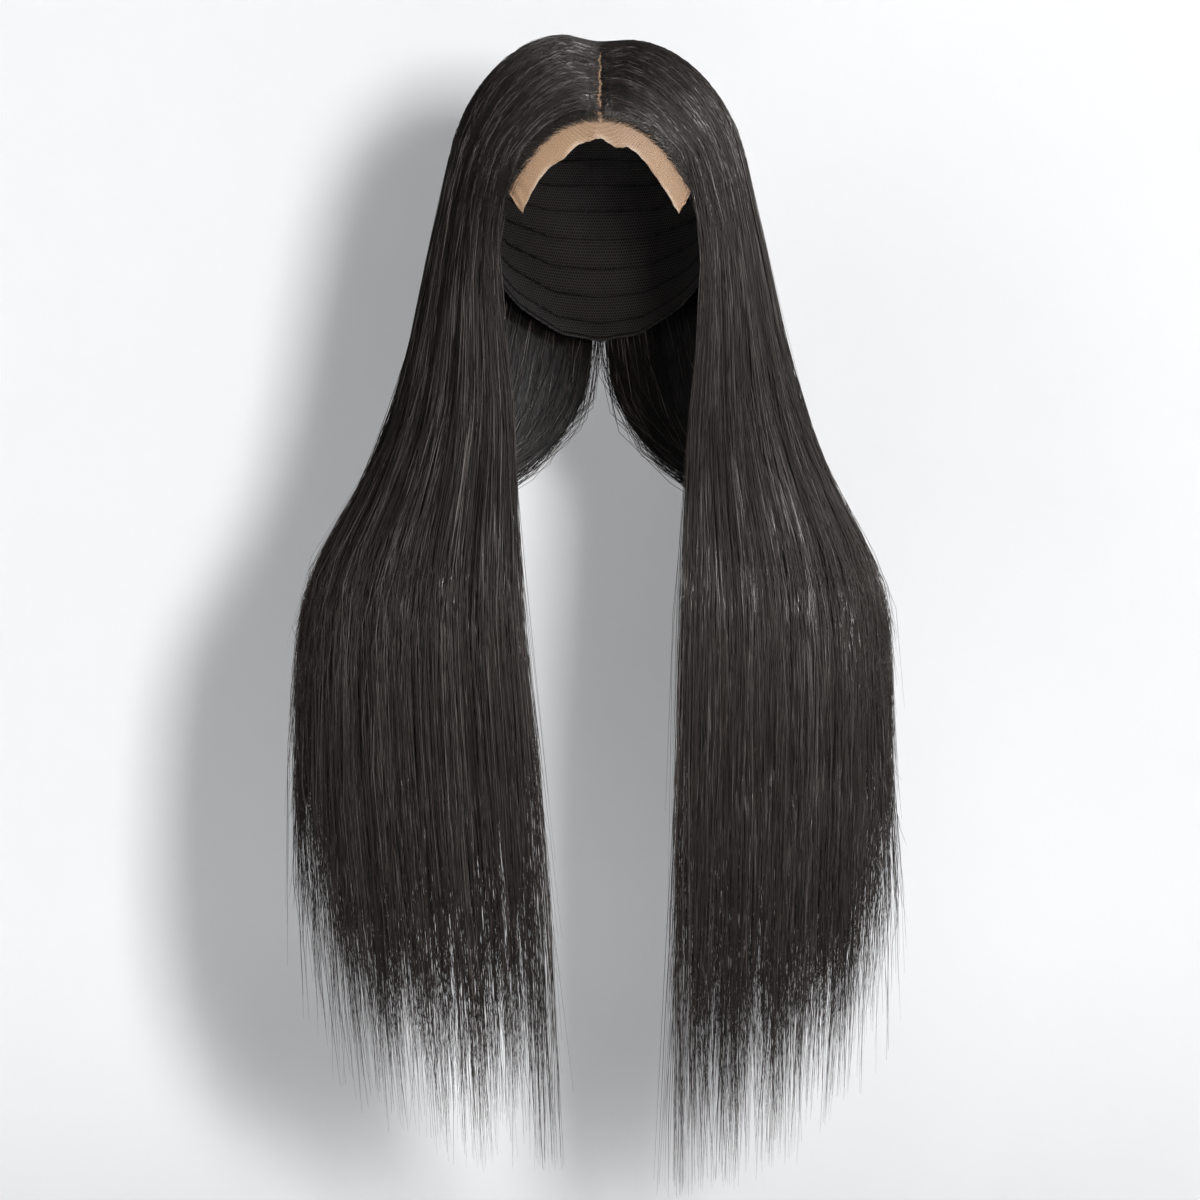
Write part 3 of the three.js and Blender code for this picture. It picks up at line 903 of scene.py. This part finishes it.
# %% [markdown]
# ## The hair's inner mass
#
# Real hair hides the cap because there is so much of it. Strands alone would need several times as many,
# so the middle of each sheet is a closed wall of packed hair that stops in ragged points before the hair
# thins out. It begins low on the head and a little away from the open parting, where its edge would show.
# A grid makes the outside, a copy of it the inside, and a bridge closes the edge.

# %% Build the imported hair
MASS_COLUMNS = 70
MASS_ROWS = 36
MASS_OUTSIDE = 0.35
MASS_INSIDE = 0.85
MASS_START = 0.0
MASS_START_AT_PARTING = 0.022
PARTING_CLOSES = (0.5, 0.72)
MASS_EDGES = {"closure": (0.02, 1.0), "weft": (0.0, 0.985)}
MASS_MIDDLE = 0.7
RAGGED_WAVES = ((0.12, 31, 0), (0.14, 83, 1.3), (0.12, 147, 0.4))


def outer_share(sheet, across):
    """How near a place is to the hair's outer edge, seen from the front: 0 far from it and 1 at it."""
    return ease(across, 0.5, 0.85) if sheet.kind == "closure" else 1 - ease(across, 0.15, 0.5)


def inner_share(sheet, across):
    """How near a place is to the sheet's other edge, beside the face or at the back."""
    return 1 - ease(across, 0, 0.09) if sheet.kind == "closure" else ease(across, 0.88, 1)


def mass_start(sheet, across):
    """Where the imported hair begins: at the roots, but further down beside the open parting."""
    opened = 1 - ease(across, *PARTING_CLOSES) if sheet.kind == "closure" else 0
    return MASS_START + (MASS_START_AT_PARTING - MASS_START) * opened


def mass_end(sheet, across):
    """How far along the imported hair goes: ragged, and shorter at the sheet's edges."""
    ragged = waves(across, RAGGED_WAVES)
    edges = np.maximum(1.2 * outer_share(sheet, across), 0.7 * inner_share(sheet, across))
    return (LENGTHS_KNOT + 0.55 + ragged - edges) / (KNOTS - 1)


def mass_place(sheet, depth):
    """A function that puts a grid's corners at a depth in the sheet."""
    first, last = MASS_EDGES[sheet.kind]

    def place(across, along):
        held = first + (last - first) * across
        ends = ease(1 - along, 0, 0.25) * ease(along, 0, 0.12)
        sides = ease(across, 0, 0.1) * ease(1 - across, 0, 0.1)
        at_depth = MASS_MIDDLE + (depth - MASS_MIDDLE) * (0.1 + 0.9 * ends * sides)
        at_depth = at_depth + (0.8 + 0.2 * depth - at_depth) * (1 - ease(along, 0, 0.08))
        start = mass_start(sheet, held)
        return sheet.at(held, start + (mass_end(sheet, held) - start) * along, at_depth)

    return place


def make_mass(sheet):
    """The closed wall of packed hair in the middle of a sheet."""
    wall, flat = bent_grid(MASS_COLUMNS, MASS_ROWS, mass_place(sheet, MASS_OUTSIDE))
    outer_faces = wall.faces[:]
    copied = bmesh.ops.duplicate(wall, geom=wall.verts[:] + wall.edges[:] + wall.faces[:])
    inner = [item for item in copied["geom"] if isinstance(item, bmesh.types.BMVert)]
    points = mass_place(sheet, MASS_INSIDE)(flat[:, 0], flat[:, 1])
    for corner, point in zip(inner, points):
        corner.co = point
    bmesh.ops.reverse_faces(wall, faces=[face for face in wall.faces if face not in set(outer_faces)])
    bmesh.ops.bridge_loops(wall, edges=[edge for edge in wall.edges if edge.is_boundary])
    bmesh.ops.recalc_face_normals(wall, faces=wall.faces)
    return wall


for sheet in sheets:
    mass = to_piece(make_mass(sheet), f"{sheet.name}_mass", mass_finish)
    stand_for(mass, sheet.name)
    print(mass.name, "faces:", len(mass.data.polygons))

# %% [markdown]
# ## Combing the hairs
#
# Each hair gets a place across its sheet, a depth, a root and an end, all from seeded generators, so the
# wig is the same in every run. The ends matter most. Hair that was cut and worn thins out towards the
# tips, so an end's distance from the longest tip is drawn as the root of an even number, which leaves
# few hairs near the tip and many further up. The sheet's edges get fewer long hairs still.

# %% Where hairs end
WISPS = 34
OUTER_EDGE = (-0.6, 0.3)
INNER_EDGE = (-0.1, 0.55)
EDGE_SHARE = 0.96


def wisp_of(sheet, across):
    """The wisp that each hair joins at its end: its middle, how tight it is and how much longer."""
    number = np.clip(np.floor(across * WISPS).astype(int), 0, WISPS - 1)
    dice = np.random.default_rng(len(sheet.name) + sheet.side)
    middle = (np.arange(WISPS) + 0.5 + dice.uniform(-0.35, 0.35, WISPS)) / WISPS
    tightness = dice.uniform(0.0, 0.55, WISPS)
    extra = dice.normal(0, 0.05, WISPS)
    return middle[number], tightness[number], extra[number]


def hair_ends(sheet, across, highest, dice):
    """How far along its line each hair ends. Only hairs at the sheet's edges end above the highest end."""
    count = len(across)
    _, _, extra = wisp_of(sheet, across)
    reach = 1 - (1 - highest) * np.sqrt(dice.uniform(0, 1, count)) + extra
    for near, (least, mean) in ((outer_share, OUTER_EDGE), (inner_share, INNER_EDGE)):
        at_edge = dice.uniform(0, 1, count) < EDGE_SHARE * near(sheet, across)
        reach = np.where(at_edge, least + dice.exponential(mean, count), reach)
    reach = np.minimum(reach, dice.uniform(0.95, 1, count))
    return (LENGTHS_KNOT + (KNOTS - 1 - LENGTHS_KNOT) * reach) / (KNOTS - 1)


ends = hair_ends(sheets[0], np.full(1000, 0.4), 0.1, np.random.default_rng(1))
print("half of the hairs in the middle end at", round(float(np.median(ends)), 3), "of the way")

# %% [markdown]
# A hair's path then follows the sheet from its root to its end. It sways a little on the way, and in the
# last fifth it is drawn to the middle of its wisp and drifts off its line, so that ends cross each other
# as combed hair does and don't hang like the teeth of a comb. At the outer edge some hairs fall straight
# down where the others turn in. Each hair has points of its own, so that the bends of neighbours don't
# line up, and its first points are tied down to the lace. Behind the crown they cross over the parting.

# %% Comb a sheet
TIE_LIFT = 0.9 * MM
CROWN_LIFT = 3.5 * MM
STRAIGHT_FALL = 22 * MM
TIP_CURL = 2.5 * MM
POINT_SHIFT = 0.45
ROOT_SWAY = 0.003
HANGING_SWAY = 0.005
BOB = 0.06
DRIFT = 0.02
PARTING_WAVES = ((0.45 * MM, 41, 0.5), (0.27 * MM, 97, 2))
PARTING_END = (0.46, 0.7)


def spaced(shares, count, dice):
    """Each hair's own points: the shares, moved a little, so that the bends of hairs don't line up."""
    room = np.minimum(np.diff(shares, prepend=shares[0]), np.diff(shares, append=shares[-1]))
    return shares + POINT_SHIFT * room * dice.uniform(-1, 1, (count, len(shares)))


def comb_hairs(sheet, across, depth, shares, root_spread, highest, dice, loose=1.0):
    """Paths of hairs from their roots to their ends. Loose ones wander further, also off the sheet."""
    count = len(across)
    start = np.clip(depth + dice.normal(0, 0.1, count), 0, 1) ** 3
    start = (root_spread[0] + (root_spread[1] - root_spread[0]) * start)[:, None]
    along = start + (hair_ends(sheet, across, highest, dice)[:, None] - start) * shares
    pace = dice.uniform(0.5, 1.7, (2, count, 1))
    phase = dice.uniform(0, 2 * math.pi, (2, count, 1))
    sway, bob = np.sin(2 * math.pi * pace * shares + phase) * dice.uniform(0.3, 1, (2, count, 1))
    hanging = ease(along, 0.2, 1.0) * loose
    low = ease(along, 0.82, 1.0)
    middle, tightness, _ = wisp_of(sheet, across)
    gather = (tightness * (middle - across) / loose)[:, None] * low
    drift = dice.normal(0, DRIFT, count)[:, None] * low ** 2 * loose ** 0.5
    place = across[:, None] + sway * (ROOT_SWAY + HANGING_SWAY * hanging) + gather + drift
    sunk = 1 + (depth[:, None] - 1) * ease(shares, 0.0, 0.05) + BOB * bob * hanging
    paths = sheet.at(place, along, np.clip(sunk, -0.12 * loose, 1.1))
    fall = STRAIGHT_FALL * outer_share(sheet, across) * dice.uniform(0, 1, count)
    paths[:, :, 0] += sheet.side * fall[:, None] * low
    curl = dice.normal(0, TIP_CURL, (count, 1, 2)) * ease(shares, 0.6, 1.0)[..., None] ** 2
    paths[:, :, :2] += curl
    return paths


def tie_roots(sheet, across, paths, shares, dice):
    """Takes the hairs' first points down to the lace. Behind the crown they cross over the parting."""
    crossing = ease(across, *PARTING_END) if sheet.kind == "closure" else np.ones(len(paths))
    low = onto_head(paths, TIE_LIFT + CROWN_LIFT * crossing[:, None])
    beside = dice.uniform(-0.9, 0.3, len(paths)) * PARTING_HALF_WIDTH
    over = -dice.uniform(0.5, 6, len(paths)) * MM
    aside = sheet.side * (beside + (over - beside) * crossing) + waves(across, PARTING_WAVES)
    low[:, :, 0] += aside[:, None]
    return low + (paths - low) * ease(shares, 0, 0.06)[..., None]


# %% [markdown]
# Hairs keep their thickness almost to the tip. Their tones come in strips, because hairs that lie side by
# side are alike, and a few light ones stand out.

# %% Place, thickness and tone of the hairs
EVEN_SHARE = 0.55
SEAM_SHARE = 0.1
SEAMS = {"closure": [1.0], "weft": [0.0, 0.98]}
INSIDE_SHARE = 0.16
OUTSIDE_DEPTH = 0.33
TONE_WAVES = ((0.06, 29, 0.7), (0.06, 53, 2.9), (0.07, 211, 1), (0.07, 367, 2), (0.07, 613, 0))


def places_across(sheet, count, dice):
    """Places across a sheet: many evenly spread as seen from front or back, some over its seams."""
    even = dice.uniform(0, 1, count)
    seen = np.arcsin(even) if sheet.kind == "closure" else np.arccos(even)
    by_sight = dice.uniform(0, 1, count) < EVEN_SHARE
    place = np.where(by_sight, seen * 2 / math.pi, dice.uniform(0, 1, count))
    seam = dice.choice(SEAMS[sheet.kind], count) + PAST_EDGE * dice.uniform(-0.8, 0.8, count)
    return np.where(dice.uniform(0, 1, count) < SEAM_SHARE, seam, place)


def outer_depths(count, dice):
    """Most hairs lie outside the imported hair, and a few inside it, where the hair is seen from within."""
    inside = dice.uniform(0.86, 1, count)
    within = dice.uniform(0, 1, count) < INSIDE_SHARE
    return np.where(within, inside, OUTSIDE_DEPTH * dice.uniform(0, 1, count) ** 1.2)


def taper(shares, count, radius, dice):
    """Radii along the hairs: full for most of the length and thin at the tip."""
    shape = (0.6 + 0.4 * ease(shares, 0, 0.1)) * (1 - 0.7 * ease(shares, 0.9, 1.0))
    return radius * dice.uniform(0.75, 1.2, count)[:, None] * shape


def hair_tones(across, dice):
    """Each hair's tone, from 0 for black to 1 for the lightest."""
    alone = dice.exponential(0.13, len(across))
    return np.clip(0.2 + waves(across, TONE_WAVES) + alone, 0, 1)


def add_hairs(layer, sheet, paths, radii, lane, tone):
    """A piece of hairs that stands for its sheet's solid. Returns how many triangles it has."""
    piece = add_rods(f"{sheet.name}_{layer}", hair_finish, paths, radii, tone, lane)
    stand_for(piece, sheet.name)
    print(piece.name, "hairs:", len(paths), "triangles:", triangles(piece))
    return triangles(piece)


# %% [markdown]
# Three lengths of hair fill a sheet. Long ones run from the root, under ones begin inside the hair below
# the head, and end ones are finer and only fill the tips. Points are close together where a hair bends.

# %% Comb all sheets
LONG_SHARES = np.array([
    0, 0.016, 0.055, 0.11, 0.17, 0.24, 0.31, 0.39, 0.47, 0.55, 0.64, 0.73, 0.82, 0.91, 1,
])
UNDER_SHARES = np.array([0, 0.22, 0.42, 0.62, 0.81, 1])
END_SHARES = np.array([0, 0.32, 0.6, 0.82, 1])
# Each layer: its points, where its roots lie, its highest end, its radius and its hairs
LAYERS = {
    "long": (LONG_SHARES, (0.0, 0.3), -0.1, 0.165 * MM, {"closure": 1700, "weft": 800}),
    "under": (UNDER_SHARES, (0.68, 0.82), 0.05, 0.18 * MM, {"closure": 1500, "weft": 600}),
    "ends": (END_SHARES, (0.85, 0.91), 0.46, 0.118 * MM, {"closure": 2900, "weft": 800}),
}
hair_triangles = 0
for number, sheet in enumerate(sheets):
    dice = np.random.default_rng(100 + number)
    for layer, (shares, root_spread, highest, radius, counts) in LAYERS.items():
        across = places_across(sheet, counts[sheet.kind], dice)
        outer = layer == "long"
        depth = outer_depths(len(across), dice) if outer else dice.uniform(0, 1, len(across))
        shares = spaced(shares, len(across), dice)
        paths = comb_hairs(sheet, across, depth, shares, root_spread, highest, dice)
        if outer:
            paths = tie_roots(sheet, across, paths, shares, dice)
        radii = taper(shares, len(across), radius, dice)
        hair_triangles += add_hairs(layer, sheet, paths, radii, across, hair_tones(across, dice))

# %% [markdown]
# ## The hairline and the loose hairs
#
# Short hairs are tied one by one into the lace in front of the hair's edge and lie back over it, which
# makes the edge look grown and not cut. Some are tied close to the parting's foot, which narrows it. The
# rods are the same as before and only their paths differ.

# %% Tie the hairline
HAIRLINE_HAIRS = 1500
HAIRLINE_SHARES = np.array([0, 0.2, 0.45, 0.7, 1])
HAIRLINE_RADIUS = 0.12 * MM
HAIRLINE_END = 0.3
HAIRLINE_DEPTH = 9 * MM
HAIRLINE_RISE = 1.5 * MM
PARTING_FILL = 3.2 * MM
PARTING_FOOT = 0.012


def front_of_head(points, lift):
    """The places on the front of the head that are seen at the same x and z."""
    ball = to_ball(points, lift)
    beside = np.minimum(ball[..., 0] ** 2 + ball[..., 2] ** 2, 0.96)
    ball[..., 1] = -np.sqrt(1 - beside)
    return from_ball(ball, lift)


def hairline_paths(sheet, dice):
    """Short hairs that are tied into the lace in front of the hair's edge and lie back over it."""
    first = HAIRLINE_END * dice.uniform(0, 1, HAIRLINE_HAIRS)
    edge = sheet.at(np.zeros(HAIRLINE_HAIRS), first, 0.3)
    down = unit(sheet.at(np.zeros(HAIRLINE_HAIRS), first + 0.02, 0.3) - edge)
    to_face = sheet.side * np.stack([down[:, 2], np.zeros(HAIRLINE_HAIRS), -down[:, 0]], axis=-1)
    ahead = HAIRLINE_DEPTH * dice.uniform(0, 1, HAIRLINE_HAIRS) ** 1.6
    place = edge + to_face * ahead[:, None]
    fill = PARTING_FILL * np.exp(-first / PARTING_FOOT) * dice.uniform(0, 1, HAIRLINE_HAIRS)
    place[:, 0] -= sheet.side * fill
    root = front_of_head(place, TIE_LIFT)
    tip_across = dice.uniform(0.05, 0.2, HAIRLINE_HAIRS)
    tip = sheet.at(tip_across, first + dice.uniform(0.04, 0.1, HAIRLINE_HAIRS), 0.3)
    share = HAIRLINE_SHARES[None, :, None]
    paths = root[:, None] + (tip - root)[:, None] * share
    return keep_off(paths, TIE_LIFT + HAIRLINE_RISE * np.sin(math.pi * HAIRLINE_SHARES)[None, :])


for number, sheet in enumerate(sheets[:2]):
    dice = np.random.default_rng(300 + number)
    radii = taper(HAIRLINE_SHARES, HAIRLINE_HAIRS, HAIRLINE_RADIUS, dice)
    tone = dice.uniform(0, 0.5, HAIRLINE_HAIRS)
    lane = dice.uniform(0, 1, HAIRLINE_HAIRS)
    hair_triangles += add_hairs("hairline", sheet, hairline_paths(sheet, dice), radii, lane, tone)

# %% [markdown]
# A few long hairs stray from every sheet. They are combed like the others, but much looser and finer.

# %% Let some hairs stray
STRAY_HAIRS = {"closure": 170, "weft": 100}
STRAY_RADIUS = 0.1 * MM
STRAY_ROOTS = (0.0, 0.3)
STRAY_HIGHEST = -0.3
STRAY_LOOSENESS = 8
for number, sheet in enumerate(sheets):
    dice = np.random.default_rng(400 + number)
    across = dice.uniform(0, 1, STRAY_HAIRS[sheet.kind])
    depth = dice.uniform(0, 0.2, len(across))
    shares = spaced(LONG_SHARES, len(across), dice)
    paths = comb_hairs(sheet, across, depth, shares, STRAY_ROOTS, STRAY_HIGHEST, dice, STRAY_LOOSENESS)
    paths = tie_roots(sheet, across, paths, shares, dice)
    radii = taper(shares, len(across), STRAY_RADIUS, dice)
    hair_triangles += add_hairs("strays", sheet, paths, radii, across, hair_tones(across, dice))
print("triangles in all hairs:", hair_triangles)

# %% [markdown]
# ## The studio
#
# A pale floor turns up into a pale wall close behind the wig. The paint is clear when it is seen from
# behind, so that the wig can be looked at from every side.

# %% Build the floor and the wall
FLOOR_Z = -0.80
FLOOR_FRONT = -6
WALL_Y = 0.32
WALL_TOP = 3.0
STAGE_HALF_WIDTH = 4
FOLD_RADIUS = 0.25
PAINT = (0.80, 0.805, 0.815, 1)


def make_stage_finish():
    """Pale matte paint, which is clear from behind."""
    material, tree, shader = new_finish("Pale_studio_paint")
    feed(tree, shader, {"Base Color": PAINT, "Roughness": 0.9, "Specular IOR Level": 0})
    clear = add_node(tree, "ShaderNodeBsdfTransparent").outputs[0]
    behind = add_node(tree, "ShaderNodeNewGeometry").outputs["Backfacing"]
    mix = add_node(tree, "ShaderNodeMixShader")
    feed(tree, mix, {"Fac": behind, 1: shader.outputs[0], 2: clear})
    feed(tree, tree.nodes["Material Output"], {"Surface": mix.outputs[0]})
    return material


def make_stage():
    """A floor that turns up into a wall."""
    stage = bmesh.new()
    bends = ((FLOOR_FRONT, FLOOR_Z), (WALL_Y, FLOOR_Z), (WALL_Y, WALL_TOP))
    corners = [stage.verts.new((-STAGE_HALF_WIDTH, y, z)) for y, z in bends]
    edges = [stage.edges.new(pair) for pair in zip(corners, corners[1:])]
    swept = bmesh.ops.extrude_edge_only(stage, edges=edges)
    moved = [item for item in swept["geom"] if isinstance(item, bmesh.types.BMVert)]
    bmesh.ops.translate(stage, verts=moved, vec=(2 * STAGE_HALF_WIDTH, 0, 0))
    turn = Vector((WALL_Y, FLOOR_Z))
    fold = [edge for edge in stage.edges if all((end.co.yz - turn).length < 1e-6 for end in edge.verts)]
    bmesh.ops.bevel(
        stage, geom=fold, offset=FOLD_RADIUS, affect="EDGES", segments=12, profile=0.5, material=-1,
    )
    bmesh.ops.recalc_face_normals(stage, faces=stage.faces)
    face_away(stage, (0, 3, -3))
    return stage


stage = to_piece(make_stage(), "studio_sweep", make_stage_finish())
print("floor at", FLOOR_Z, "m, wall at", WALL_Y, "m")

# %% [markdown]
# A key light stands at the front right, a weak fill at the left and a strong light high on the right. The
# key makes the shadow on the wall and gives no reflections, and the high light is seen in reflections
# alone. So the hair's sheen and the shadow can be set one by one. The camera stands far off and has a
# long lens.

# %% Set the lights and the camera
CAMERA_DISTANCE = 3.2
CAMERA_HEIGHT = -0.3415
FIELD_WIDTH = 0.744
SENSOR = 36
WIG_MIDDLE = (0, 0, -0.34)
HAIR_SHINES = (0, 0, -0.3)
WORLD_STRENGTH = 0.27


def add_light(name, place, target, size, power):
    """A soft rectangular light that looks at a target."""
    data = bpy.data.lights.new(name, "AREA")
    data.shape = "RECTANGLE"
    data.size, data.size_y = size
    data.energy = power
    light = bpy.data.objects.new(name, data)
    light.location = place
    light.rotation_euler = (Vector(target) - Vector(place)).to_track_quat("-Z", "Y").to_euler()
    bpy.context.scene.collection.objects.link(light)
    return light


key = add_light("key", (0.6, -2.5, 0.0), WIG_MIDDLE, (0.35, 0.45), 61)
key.visible_glossy = False
add_light("fill", (-1.8, -2.2, 0.3), WIG_MIDDLE, (1.0, 1.4), 12)
top = add_light("top", (1.5, -1.9, 0.9), HAIR_SHINES, (1.3, 0.4), 250)
top.visible_diffuse = False

world = bpy.data.worlds.new("studio")
world.use_nodes = True
background = world.node_tree.nodes["Background"]
feed(world.node_tree, background, {"Color": (1, 1, 1, 1), "Strength": WORLD_STRENGTH})
bpy.context.scene.world = world

camera = bpy.data.objects.new("camera", bpy.data.cameras.new("camera"))
camera.data.sensor_width = SENSOR
camera.data.lens = SENSOR * CAMERA_DISTANCE / FIELD_WIDTH
camera.location = (0, -CAMERA_DISTANCE, CAMERA_HEIGHT)
camera.rotation_euler = (math.pi / 2, 0, 0)
bpy.context.scene.collection.objects.link(camera)
bpy.context.scene.camera = camera
bpy.context.scene.view_settings.view_transform = "Standard"
print("lens in mm:", round(camera.data.lens, 1))
